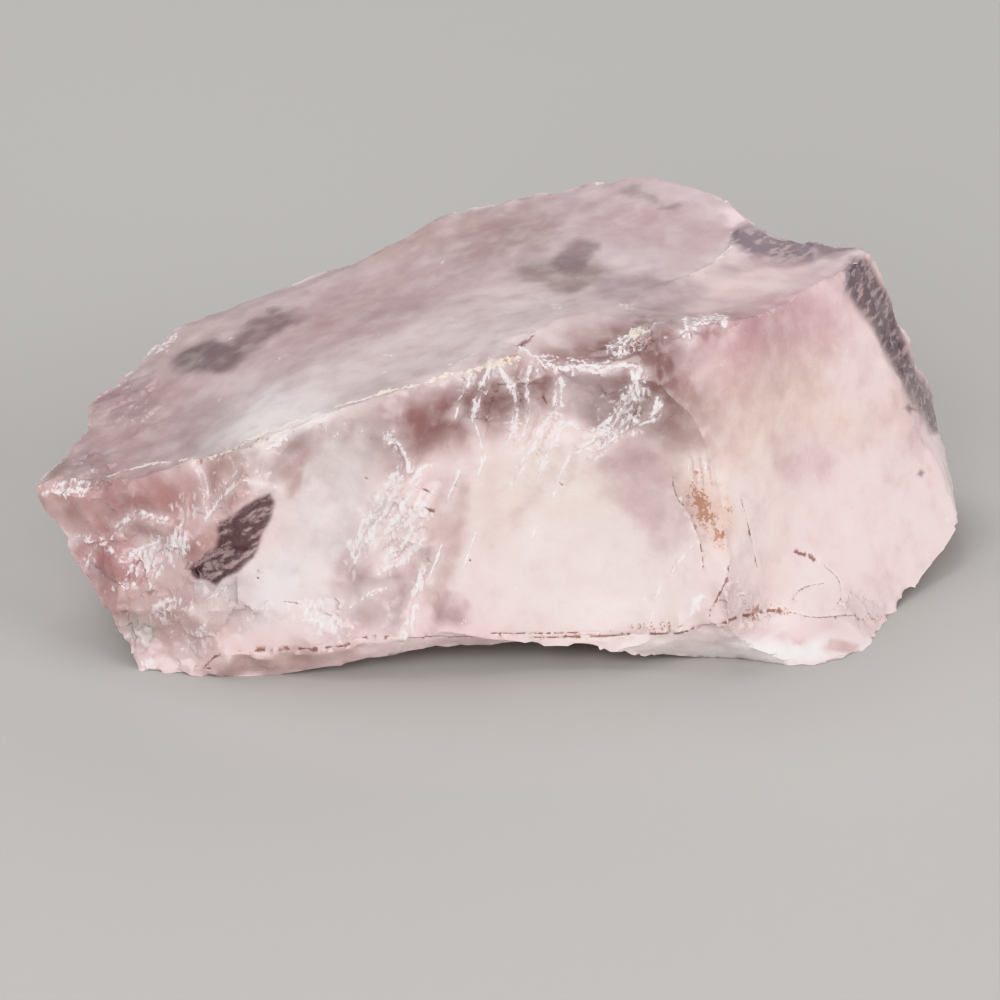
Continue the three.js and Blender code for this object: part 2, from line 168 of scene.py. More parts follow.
only(frame["nodes"][NODE])
bpy.ops.object.duplicate()
stone = bpy.context.active_object
stone.name = "quartz_stone"
bpy.ops.object.parent_clear(type="CLEAR_KEEP_TRANSFORM")
for key in list(stone.keys()):
    del stone[key]
stone.data.materials.clear()
bpy.ops.object.mode_set(mode="EDIT")
bpy.ops.mesh.select_all(action="SELECT")
bpy.ops.mesh.remove_doubles(threshold=0.001 * MM)
bpy.ops.object.mode_set(mode="OBJECT")

# Points all along the ridges.
ridge_points = []
shell = bmesh.new()
shell.from_mesh(stone.data)
for edge in shell.edges:
    if edge.calc_face_angle(0) > SHARP:
        a, b = (v.co / MM for v in edge.verts)
        steps = max(1, round((b - a).length / RIDGE_GAP))
        ridge_points += [a.lerp(b, (i + 0.5) / steps) for i in range(steps)]
shell.free()
ridge_tree = tree_of(ridge_points)

remesh = stone.modifiers.new("fine skin", "REMESH")
remesh.mode = "VOXEL"
remesh.voxel_size = VOXEL
only(stone)
bpy.ops.object.modifier_apply(modifier=remesh.name)
group = stone.vertex_groups.new(name="away from ridges")
from_ridge = far_from(ridge_tree, coordinates(stone.data))
for i, weight in enumerate(smoothstep(RIDGE_CORE, RIDGE_FADE, from_ridge)):
    group.add([i], SMOOTH_ON_RIDGE + (1 - SMOOTH_ON_RIDGE) * weight, "REPLACE")
ease = stone.modifiers.new("facets eased", "SMOOTH")
ease.factor = 0.5
ease.iterations = SMOOTH_STEPS
ease.vertex_group = group.name
bpy.ops.object.modifier_apply(modifier=ease.name)
stone.vertex_groups.clear()

mesh = stone.data
crisp = pulled_onto(ridge_tree, coordinates(mesh), RIDGE_SNAP, RIDGE_SNAP_SHARE)
mesh.vertices.foreach_set("co", (crisp * MM).ravel())
mesh.update()
skin = BVHTree.FromPolygons([v.co / MM for v in mesh.vertices], [p.vertices[:] for p in mesh.polygons])
eye = camera.location / MM
aim = AIM / MM
view_width = VIEW_WIDTH / MM
view_distance = CAMERA_DISTANCE / MM


def skin_at(x, y):
    """The point of the skin that the picture shows at this pixel."""
    target = aim + ((x / PICTURE - 0.5) * RIGHT + (0.5 - y / PICTURE) * UP) * view_width
    return skin.ray_cast(eye, target - eye)[0]


def pixels_of(points):
    """The column and the row of the picture at which each point shows."""
    right = (points - np.array(aim)) @ np.array(RIGHT)
    up = (points - np.array(aim)) @ np.array(UP)
    scale = PICTURE / view_width * view_distance / ((points - np.array(eye)) @ np.array(FORWARD))
    return PICTURE / 2 + right * scale, PICTURE / 2 - up * scale


# White feathers: hackles and step fractures whose crushed edges scatter the light, and whose white also
# stands for painted highlights along the ledges' edges. Each has half the width of its white band and half
# the height of its step in mm, and the picture pixels that it runs through.
FEATHERS = {
    "ledge beside the left hollow": (0.50, -0.30, [
        (389, 432), (396, 446), (404, 464), (394, 486), (379, 513), (364, 536), (357, 560),
    ]),
    "ledge between the hollows": (0.62, -0.25, [
        (431, 490), (421, 505), (411, 520), (401, 538), (391, 556),
    ]),
    "its left branch": (0.22, -0.15, [(409, 494), (398, 512), (386, 530), (379, 541)]),
    "crumbled ledge foot": (0.45, -0.10, [(420, 540), (405, 556), (392, 564), (380, 572)]),
    "ledge down to the sill": (0.48, 0.25, [(424, 566), (420, 584), (413, 604), (410, 627), (404, 645)]),
    "thin ledge beside it": (0.12, 0.08, [(441, 545), (435, 562), (428, 582)]),
    "crumbs at its top": (0.28, 0.10, [(413, 484), (420, 472), (431, 463)]),
    "first streak below the ridge": (0.34, 0.12, [(492, 364), (484, 384), (478, 400), (472, 420)]),
    "its lower end": (0.14, 0.08, [(474, 424), (481, 444), (482, 462), (477, 480)]),
    "its branch": (0.13, 0.08, [(473, 368), (468, 382), (460, 400), (456, 418)]),
    "second streak": (0.28, 0.14, [(500, 370), (510, 384), (516, 402), (514, 424), (506, 448)]),
    "third streak": (0.16, 0.10, [(531, 366), (528, 384), (529, 406), (524, 432), (520, 440)]),
    "short streak beside it": (0.16, 0.05, [(540, 369), (536, 377), (529, 382)]),
    "fourth streak": (0.40, 0.20, [
        (557, 371), (559, 388), (557, 404), (546, 420), (537, 438), (525, 458), (516, 478), (510, 484),
    ]),
    "fifth streak": (0.30, 0.10, [
        (577, 427), (564, 424), (556, 434), (549, 450), (542, 466), (536, 478),
    ]),
    "sixth streak": (0.17, 0.08, [(572, 447), (567, 462), (560, 480), (553, 496)]),
    "seventh streak": (0.10, 0.06, [(584, 452), (578, 472), (571, 492)]),
    "streak left of the middle": (0.16, 0.06, [(460, 465), (454, 483), (446, 506)]),
    "faint long streak": (0.09, 0.04, [(478, 525), (470, 550), (460, 578), (452, 598)]),
    "faint hackle": (0.07, 0.03, [(537, 522), (530, 545), (524, 560)]),
    "edge of the triangle": (0.78, 0.30, [
        (638, 370), (634, 390), (625, 410), (611, 430), (594, 444), (580, 449),
    ]),
    "its fork": (0.48, 0.20, [(658, 400), (655, 414), (640, 425), (614, 440), (594, 458)]),
    "ledge under the lens": (0.42, 0.30, [
        (522, 344), (531, 352), (545, 361), (562, 367), (592, 366), (630, 365),
    ]),
    "its broad part": (0.30, 0.10, [(532, 354), (550, 366), (568, 368)]),
    "ledge across the left end": (0.28, 0.30, [
        (72, 541), (84, 538), (101, 540), (114, 532), (125, 521), (145, 516), (166, 520),
    ]),
    "scatter under it": (0.35, 0.10, [(112, 548), (124, 558), (140, 552), (156, 545)]),
    "feather above the window": (0.30, 0.25, [(206, 518), (218, 502), (232, 488), (241, 477)]),
    "facet edge above the window": (0.12, 0.15, [(241, 480), (262, 484), (277, 488)]),
    "upright facet edge": (0.14, 0.20, [(192, 458), (200, 472), (206, 492), (207, 512)]),
    "second facet edge": (0.10, 0.15, [(244, 458), (232, 476), (222, 492), (214, 510)]),
    "upright edge at the tip": (0.08, 0.10, [(96, 545), (90, 558), (88, 566)]),
    "crack to the left foot": (0.16, 0.12, [(222, 592), (211, 601), (200, 613)]),
    "crack to the white patch": (0.13, 0.06, [(350, 608), (361, 600), (372, 593), (388, 588)]),
    "patch by the right foot": (0.40, 0.12, [(698, 598), (690, 610), (684, 622), (679, 633)]),
    "crack beside it": (0.10, 0.05, [(661, 582), (656, 602), (649, 624)]),
    "faint line above it": (0.10, 0.04, [(692, 545), (682, 558), (673, 572)]),
    "step behind the nose": (0.16, 0.22, [(675, 279), (692, 274), (711, 264), (727, 251), (733, 238)]),
    "bright crumbs at the nose": (0.42, 0.20, [(620, 342), (632, 336), (646, 331), (661, 325)]),
    "crumbs right of the nose": (0.46, 0.15, [(683, 334), (700, 322), (716, 314), (724, 322)]),
    "stub below them": (0.22, 0.08, [(686, 318), (688, 330), (690, 338)]),
    "rib above the stain, first": (0.08, 0.06, [(689, 461), (690, 472), (693, 482)]),
    "rib above the stain, second": (0.09, 0.08, [(696, 458), (698, 470), (700, 482)]),
    "rib above the stain, third": (0.09, 0.08, [(704, 459), (706, 471), (708, 484)]),
    "rib above the stain, fourth": (0.08, 0.06, [(712, 462), (714, 474), (716, 486)]),
    "streaks in the band, first": (0.09, 0.05, [(318, 418), (315, 436)]),
    "streaks in the band, second": (0.10, 0.05, [(328, 416), (325, 438)]),
    "streaks in the band, third": (0.10, 0.05, [(344, 424), (330, 444)]),
    "streaks in the band, fourth": (0.08, 0.05, [(362, 430), (356, 444)]),
    "white fleck under the ridge": (0.22, 0.08, [(284, 436), (276, 444), (268, 449)]),
}
# The line of yellowish crumbs along the ridge between the top and the front, in the same terms.
CRUMB_LINES = {
    "left of the hollows": (0.16, 0.0, [(97, 477), (124, 470), (160, 463), (198, 458), (232, 450)]),
    "over the window": (0.20, 0.0, [(232, 450), (258, 436), (277, 430), (290, 423), (306, 419)]),
    "over the left hollow": (0.14, 0.0, [(306, 417), (344, 404), (372, 394), (400, 387), (421, 382)]),
    "over the middle": (0.12, 0.0, [(421, 382), (447, 374), (472, 369), (486, 364)]),
    "over the streaks": (0.24, 0.0, [(474, 372), (486, 366), (503, 362), (520, 357)]),
    "at the nose": (0.34, 0.0, [(626, 338), (640, 333), (652, 329)]),
    "flake line on the top": (0.06, 0.0, [(447, 366), (461, 361), (476, 354)]),
}
# Hairlines of rust and dirt in fine cracks, in the same terms.
HAIRLINES = {
    "left sill": (0.13, 0.0, [(205, 666), (217, 656), (240, 652), (281, 650), (315, 649), (349, 645)]),
    "left sill, lower": (0.07, 0.0, [(196, 667), (210, 669), (219, 671)]),
    "arc in the left hollow": (0.06, 0.0, [(257, 605), (267, 602), (284, 602), (298, 604), (306, 607)]),
    "dash on the ledge": (0.10, 0.0, [(422, 489), (430, 492)]),
    "second dash": (0.13, 0.0, [(423, 506), (434, 512)]),
    "third dash": (0.09, 0.0, [(453, 484), (459, 490)]),
    "dash under the streaks": (0.09, 0.0, [(557, 480), (562, 486)]),
    "speck in the triangle": (0.11, 0.0, [(541, 393), (547, 404)]),
    "sill, left": (0.07, 0.0, [(352, 640), (372, 636), (400, 637)]),
    "sill, first scratch": (0.08, 0.0, [(400, 641), (430, 638), (462, 637), (494, 636)]),
    "sill, second scratch": (0.08, 0.0, [(490, 633), (520, 634), (560, 633), (600, 632)]),
    "sill, third scratch": (0.10, 0.0, [(530, 638), (570, 637), (610, 636), (645, 633)]),
    "sill, fourth scratch": (0.12, 0.0, [(620, 634), (650, 634), (684, 633), (720, 627)]),
    "sill, right": (0.14, 0.0, [(700, 631), (727, 624), (748, 616), (770, 610), (790, 612)]),
    "toe": (0.07, 0.0, [(790, 612), (815, 617), (845, 616), (880, 620)]),
    "edge of the hollow": (0.08, 0.0, [(672, 474), (676, 495), (690, 516), (699, 540), (703, 566)]),
    "line below the stain": (0.12, 0.0, [(730, 560), (725, 582), (714, 602), (709, 618)]),
    "line beside it": (0.07, 0.0, [(742, 500), (752, 540), (758, 570)]),
    "flake, upper rim": (0.16, 0.0, [(795, 552), (808, 556), (820, 562)]),
    "flake, right rim": (0.06, 0.0, [(820, 562), (838, 578), (842, 594), (834, 610)]),
    "flake, inner arc": (0.07, 0.0, [(791, 607), (795, 595), (806, 587), (824, 583)]),
    "under the lens": (0.08, 0.0, [(634, 352), (648, 345), (662, 338)]),
    "left of the lens": (0.10, 0.0, [(518, 343), (526, 338), (536, 334)]),
    "sharp line under the nose": (0.05, 0.0, [(661, 326), (672, 330), (680, 336)]),
    "dash in the band": (0.08, 0.0, [(383, 433), (388, 440)]),
    "speck in the left hollow": (0.10, 0.0, [(365, 477), (367, 480)]),
    "speck in the broad hollow": (0.10, 0.0, [(469, 559), (471, 561)]),
    "lower speck": (0.08, 0.0, [(515, 585), (517, 586)]),
    "speck beside the window": (0.09, 0.0, [(258, 571), (260, 574)]),
    "speck below it": (0.08, 0.0, [(257, 577), (259, 579)]),
}
# The sides that the picture doesn't show: the way that each faces, and how many feathers and how many
# hairlines are strewn on it.
HIDDEN_SIDES = {
    "back": ((0.1, 1, 0.2), 14, 8),
    "left": ((-1, 0.2, -0.1), 5, 3),
    "right": ((1, 0.5, 0.1), 4, 3),
    "under": ((0, 0, -1), 8, 6),
}


PATH_STEP = 0.12  # mm between the points of a line's path
LINE_SPACING = 23  # mm from one line to the next in the noise that frays them, so that no two look alike
STONE_MIDDLE = Vector((0, 0, 13))  # the stone's middle, in mm
STREWN_HALF = 36  # mm to each side of the middle within which lines start on a hidden side
OUTSIDE = 80  # mm from the middle, which is well outside the stone
MOST_SLANTED = 0.35  # the cosine at which the skin turns too far away for a hidden side's lines


def curve_through(points):
    """A smooth path through the points."""
    ends = [2 * points[0] - points[1]] + list(points) + [2 * points[-1] - points[-2]]
    path = []
    for p, a, b, q in zip(ends, ends[1:], ends[2:], ends[3:]):
        count = max(2, round((b - a).length / PATH_STEP))
        for i in range(count):
            t = i / count
            path.append(0.5 * (2 * a + (b - p) * t + (2 * p - 5 * a + 4 * b - q) * t ** 2
                               + (3 * a - p - 3 * b + q) * t ** 3))
    return path + [points[-1]]


def strewn(facing, count, rng, widths, steps):
    """So many crooked lines, laid at random on the side that faces this way, out of the camera's sight."""
    out = Vector(facing).normalized()
    side = out.orthogonal().normalized()
    other = out.cross(side)
    lines = []
    while len(lines) < count:
        start = STONE_MIDDLE + rng.uniform(-STREWN_HALF, STREWN_HALF) * side
        start = start + rng.uniform(-STREWN_HALF, STREWN_HALF) * other
        heading = rng.uniform(0, math.tau)
        points = []
        for _ in range(rng.randint(3, 6)):
            hit, normal, _, _ = skin.ray_cast(start + OUTSIDE * out, -out)
            if hit is None or normal.dot(out) < MOST_SLANTED:
                break
            if normal.dot((eye - hit).normalized()) > -0.1:
                break
            points.append(hit)
            heading += rng.uniform(-0.5, 0.5)
            start = start + rng.uniform(0.9, 2.2) * (math.cos(heading) * side + math.sin(heading) * other)
        if len(points) > 2:
            lines.append((rng.uniform(*widths), rng.uniform(*steps), points))
    return lines


def lay(lines):
    """Every line as path points, each with its direction, half width, step and how far along it is."""
    laid = []
    for number, (width, step, points) in enumerate(lines):
        path = curve_through(points)
        for i, point in enumerate(path):
            swell = math.sin(math.pi * (0.1 + 0.8 * i / (len(path) - 1))) ** 0.5
            way = (path[min(i + 1, len(path) - 1)] - path[max(i - 1, 0)]).normalized()
            laid.append((*point, *way, width * swell, step * swell, PATH_STEP * i + LINE_SPACING * number))
    return np.array(laid)


def in_picture(table):
    """The table's lines, drawn on the skin. A pixel that shows no stone would be left out."""
    lines = []
    for width, step, pixels in table.values():
        points = [skin_at(x, y) for x, y in pixels]
        lines.append((width, step, [point for point in points if point]))
    return lines


rng = random.Random(7)
feather_lines = in_picture(FEATHERS)
hair_lines = in_picture(HAIRLINES)
for facing, feather_count, hair_count in HIDDEN_SIDES.values():
    feather_lines += strewn(facing, feather_count, rng, (0.08, 0.3), (0.05, 0.25))
    hair_lines += strewn(facing, hair_count, rng, (0.05, 0.12), (0, 0))
feathers = lay(feather_lines)
crumb_lines = lay(in_picture(CRUMB_LINES))
hairs = lay(hair_lines)

# Broken ground, where the skin is a patchwork of small tilted facets: its middle and radius in pixels.
# Then windows, where the quartz is clear and the dark seen through it is painted shade, and small dark
# spots, which are drawn alike: the outline, clockwise in pixels, the width over which its edge fades, the
# angle of the streaks in it, and its colour.
BROKEN_GROUND = [
    ((128, 548), 58), ((176, 560), 44), ((165, 622), 62), ((222, 610), 36), ((225, 478), 34),
    ((92, 470), 30), ((395, 520), 38), ((412, 560), 30), ((500, 392), 44), ((612, 410), 34),
    ((745, 612), 34), ((648, 336), 24), ((330, 622), 34), ((860, 610), 26), ((130, 400), 40),
]
WINDOWS = {
    "window, lower end": (
        [(187, 571), (217, 548), (250, 545), (254, 556), (238, 572), (214, 583), (196, 578)],
        6, 28, "#573b3f",
    ),
    "window, upper end": (
        [(217, 549), (219, 523), (238, 508), (270, 495), (275, 502), (264, 532), (253, 557)],
        6, 28, "#5d4145",
    ),
    "crown": (
        [(733, 229), (745, 224), (793, 227), (820, 243), (813, 258), (779, 261), (752, 257), (735, 246)],
        14, 30, "#86747e",
    ),
    "far crown": (
        [(818, 240), (852, 240), (858, 248), (840, 258), (818, 256)],
        12, 10, "#96838a",
    ),
    "far edge, upper": (
        [(845, 268), (852, 258), (872, 262), (890, 303), (909, 347), (894, 358), (864, 317), (848, 290)],
        12, 52, "#6f6067",
    ),
    "far edge, lower": (
        [(893, 320), (909, 347), (932, 396), (943, 434), (930, 432), (914, 402), (894, 362), (885, 335)],
        12, 52, "#6f5d64",
    ),
    "dot beside it": (
        [(905, 409), (910, 405), (915, 409), (910, 413)],
        7, 0, "#6c5055",
    ),
    "second dot": (
        [(919, 472), (922, 469), (925, 472), (922, 475)],
        7, 0, "#8a6a6e",
    ),
    "spot above the lens's left end": (
        [(515, 343), (523, 337), (531, 338), (524, 345)],
        4, 20, "#8d6c68",
    ),
    "shade in the lens": (
        [(588, 353), (600, 347), (617, 351), (612, 358), (596, 359)],
        6, 0, "#9b7d80",
    ),
}


def cloud(points, scale, octaves, shift):
    """Fractal noise of about -1 to 1 at points in mm. Its blotches are about as large as the scale."""
    moved = Vector((shift, 2 * shift, -shift))
    return np.array([noise.fractal(Vector(point) / scale + moved, 0.8, 2.0, octaves) for point in points])


def in_ellipse(column, row, middle, halves, angle, outer, inner):
    """1 up to the inner multiple of the ellipse, 0 from the outer one on, and fading between them."""
    turn = math.radians(angle)
    dx = column - middle[0]
    dy = middle[1] - row
    along = (dx * math.cos(turn) + dy * math.sin(turn)) / halves[0]
    over = (dy * math.cos(turn) - dx * math.sin(turn)) / halves[1]
    return smoothstep(outer, inner, np.hypot(along, over))


def in_outline(column, row, corners, fade):
    """1 inside the convex outline and 0 outside it, fading over so many pixels."""
    inside = np.full(len(column), 999.0)
    for (x0, y0), (x1, y1) in zip(corners, corners[1:] + corners[:1]):
        away = ((x1 - x0) * (row - y0) - (y1 - y0) * (column - x0)) / math.hypot(x1 - x0, y1 - y0)
        inside = np.minimum(inside, away)
    return smoothstep(-fade / 2, fade / 2, inside)


def seen_from_camera(points, normals):
    """1 for each point that the camera sees, and 0 for the others."""
    seen = np.zeros(len(points))
    for i, (point, normal) in enumerate(zip(points, normals)):
        to_eye = (eye - Vector(point)).normalized()
        if to_eye.dot(normal) > 0.0 and skin.ray_cast(Vector(point) + 0.3 * to_eye, to_eye)[0] is None:
            seen[i] = 1
    return seen


def broken_at(points, seen):
    """How broken the skin is: as listed where the camera sees it, and by chance elsewhere."""
    column, row = pixels_of(points)
    broken = np.zeros(len(points))
    for (x, y), radius in BROKEN_GROUND:
        broken = np.maximum(broken, smoothstep(1.2, 0.5, np.hypot(column - x, row - y) / radius))
    return seen * broken + (1 - seen) * smoothstep(0.05, 0.4, cloud(points, 9, 2, 5.0))


def split(where):
    """Halves every edge whose two ends are both in there."""
    shell = bmesh.new()
    shell.from_mesh(mesh)
    edges = [e for e in shell.edges if where[e.verts[0].index] and where[e.verts[1].index]]
    bmesh.ops.subdivide_edges(shell, edges=edges, cuts=1, use_grid_fill=True)
    shell.to_mesh(mesh)
    shell.free()


# The skin is made finer in two rounds. Each has the distances in mm at which it still splits: from a
# feather that the camera sees, from one on a hidden side, and from a hairline.
SPLITS = ((0.7, 0.45, 0.42), (0.35, 0.0, 0.24))
WINDOW_MARGIN = 16  # pixels over which a window's outline fades when the skin round it is split
feather_tree = tree_of(feathers[:, :3])
crumb_tree = tree_of(crumb_lines[:, :3])
hair_tree = tree_of(hairs[:, :3])
for reach, hidden_reach, hair_reach in SPLITS:
    points = coordinates(mesh)
    seen = seen_from_camera(points, normals_of(mesh))
    column, row = pixels_of(points)
    fine = far_from(feather_tree, points) < np.where(seen, reach, hidden_reach)
    fine |= far_from(crumb_tree, points) < 0.8 * reach
    fine |= (far_from(hair_tree, points) < hair_reach) & (seen > 0)
    if hidden_reach:
        fine |= (seen > 0) & (broken_at(points, seen) > 0.3)
    for corners, _, _, _ in WINDOWS.values():
        fine |= (seen > 0) & (in_outline(column, row, corners, WINDOW_MARGIN) > 0)
    split(fine)
shell = bmesh.new()
shell.from_mesh(mesh)
bmesh.ops.triangulate(shell, faces=shell.faces)
shell.to_mesh(mesh)
shell.free()

points = coordinates(mesh)
normals = normals_of(mesh)
seen = seen_from_camera(points, normals)
column, row = pixels_of(points)
from_ridge = far_from(ridge_tree, points)
broken = broken_at(points, seen)

NOT_NEAR = 99.0  # stands for the distance where no line is near


def along_lines(lines, tree, reach):
    """For each vertex within reach of the lines: its distance over the half width, the side that it is
    on, the half width, the step, and how far along the line it lies. The rest are NOT_NEAR and 0."""
    over = np.full(len(points), NOT_NEAR)
    side, width, step, run = (np.zeros(len(points)) for _ in range(4))
    for i, point in enumerate(points):
        _, nearest, far = tree.find(point)
        if far < reach:
            x, y, z, way_x, way_y, way_z, width[i], step[i], run[i] = lines[nearest]
            left = Vector((way_x, way_y, way_z)).cross(Vector(normals[i]))
            side[i] = left.dot(Vector(point) - Vector((x, y, z)))
            over[i] = far / width[i]
    return over, side, width, step, run


ragged = cloud(points, 0.9, 4, 2.0)
near_feathers = along_lines(feathers, feather_tree, 3)
feather_over, feather_side, feather_width, feather_step, feather_run = near_feathers
crumb_over = along_lines(crumb_lines, crumb_tree, 1.5)[0]
hair_over = along_lines(hairs, hair_tree, 1.2)[0]

# Fibres inside each feather lie slantwise across it, so that its edges fray.
fibres = np.zeros(len(points))
for i in np.flatnonzero(feather_over < 5):
    slanted = Vector((0.55 * feather_run[i], 3.6 * (feather_side[i] - 0.12 * feather_run[i]), 0))
    fibres[i] = noise.fractal(slanted, 0.7, 2.0, 3)
feather = smoothstep(1.45, 0.35, feather_over + 0.55 * ragged - 0.9 * fibres)
feather = feather * (0.35 + 0.65 * smoothstep(-0.3, 0.3, fibres))
hair = smoothstep(1.5, 0.6, hair_over + 0.7 * ragged)
crumb_over = crumb_over + 1.3 * cloud(points, 1.6, 2, 14.0)
crumbs = smoothstep(1.6, 0.5, crumb_over + 2.2 * cloud(points, 0.5, 2, 9.0))
hidden_ridge = (1 - seen) * smoothstep(0.35, 0.1, from_ridge + 0.2 * ragged)
hidden_ridge *= smoothstep(0.1, 0.5, cloud(points, 4, 2, 41.0))
crumbs = np.maximum(crumbs, hidden_ridge)


def facets(scale, shift):
    """A patchwork of tilted planes: their height, about -1 to 1, and the distance in mm to a border."""
    height = np.zeros(len(points))
    border = np.full(len(points), 9.0)
    for i in np.flatnonzero(broken > 0.01):
        place = Vector(points[i]) / scale + Vector((shift, shift, shift))
        far, centres = noise.voronoi(place)
        tilt = 2 * noise.cell_vector(17 * centres[0]) - Vector((1, 1, 1))
        height[i] = tilt.dot(place - centres[0]) + 0.35 * tilt.x
        border[i] = (far[1] - far[0]) * scale
    return height, border


# Relief, in mm along the skin's normal: slow swells, a fine unevenness, and each feather as a low step
# whose two sides ease back. Fibres and crumbs stand out a little, and hairlines are shallow grooves.
SWELL = 0.07
UNEVENNESS = 0.012
STEP_HALF = 0.22  # mm to each side of a feather within which its step rises
STEP_EASE = 1.5  # mm over which it eases back
FRAY = 0.10
GROOVE = 0.05
height = SWELL * cloud(points, 7, 2, 4.0) + UNEVENNESS * cloud(points, 1.5, 3, 8.0)
step_side = np.clip(feather_side / STEP_HALF, -1, 1)
height += feather_step * step_side * np.exp(-feather_over * feather_width / STEP_EASE)
height += FRAY * feather * (fibres + 0.2) + FRAY * crumbs * ragged - GROOVE * hair

# Conchoidal ripples round the points that were struck: the point's pixel, the way that the rippled
# skin faces, and the ripples' height, wavelength and reach in mm.
RIPPLES = {
    "top": ((690, 322), (-0.1, 0, 1), 0.022, 3.6, 26),
    "broad hollow": ((610, 372), (0, -1, 0), 0.022, 2.3, 16),
    "left hollow": ((372, 440), (0, -1, 0), 0.03, 1.9, 10),
    "right face": ((868, 268), (0.79, -0.54, 0.28), 0.022, 3.1, 26),
    "left end": ((60, 490), (-0.52, -0.85, 0.06), 0.03, 1.5, 12),
}
swirl = cloud(points, 7, 1, 3.0)
for (x, y), facing, rise, wavelength, reach in RIPPLES.values():
    far = np.linalg.norm(points - np.array(skin_at(x, y)), axis=1)
    fits = smoothstep(0.55, 0.85, normals @ np.array(Vector(facing).normalized()))
    height += rise * np.sin(math.tau * (far / wavelength + 0.7 * swirl)) * np.exp(-far / reach) * fits

# Broken ground: broad facets, with small ones on them and crushed borders between them.
BROAD_FACET = 3.4  # mm across
BROAD_RISE = 0.34  # mm
SMALL_FACET = 1.3
SMALL_RISE = 0.15
broad_facets, broad_border = facets(BROAD_FACET, 3.1)
small_facets, small_border = facets(SMALL_FACET, 9.2)
height += broken * (BROAD_RISE * broad_facets + SMALL_RISE * small_facets)
edges = np.maximum(smoothstep(0.16, 0.03, broad_border), 0.8 * smoothstep(0.12, 0.03, small_border))
cracked = broken * edges * smoothstep(-0.05, 0.3, cloud(points, 1.8, 3, 23.0))

# Small chips along the ridges: shallow scoops, few of them large.
CHIP_CHANCE = 0.035  # of one at each of the ridges' points
CHIP_RADIUS = 0.4  # mm, the least
CHIP_SPREAD = 1.8  # mm that the largest have more
point_tree = tree_of(points)
chips = np.zeros(len(points))
for point in ridge_points:
    if rng.random() > CHIP_CHANCE:
        continue
    radius = CHIP_RADIUS + CHIP_SPREAD * rng.random() ** 3
    sunk = radius * rng.uniform(0.05, 0.2)
    centre = point + Vector([rng.uniform(-0.5, 0.5) for _ in range(3)])
    for _, index, far in point_tree.find_range(centre, radius):
        chips[index] = max(chips[index], sunk * (1 - (far / radius) ** 2))
height -= chips

# What the stone stands on keeps its shape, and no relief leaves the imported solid's box.
on_floor = smoothstep(1.4, 0.2, points[:, 2]) * smoothstep(-0.5, -0.9, normals[:, 2])
height = height * (1 - on_floor)
low = np.array(cad_box[0]) / MM
high = np.array(cad_box[1]) / MM
moved = np.clip(points + normals * height[:, None], low, high)
mesh.vertices.foreach_set("co", (moved * MM).ravel())
mesh.update()
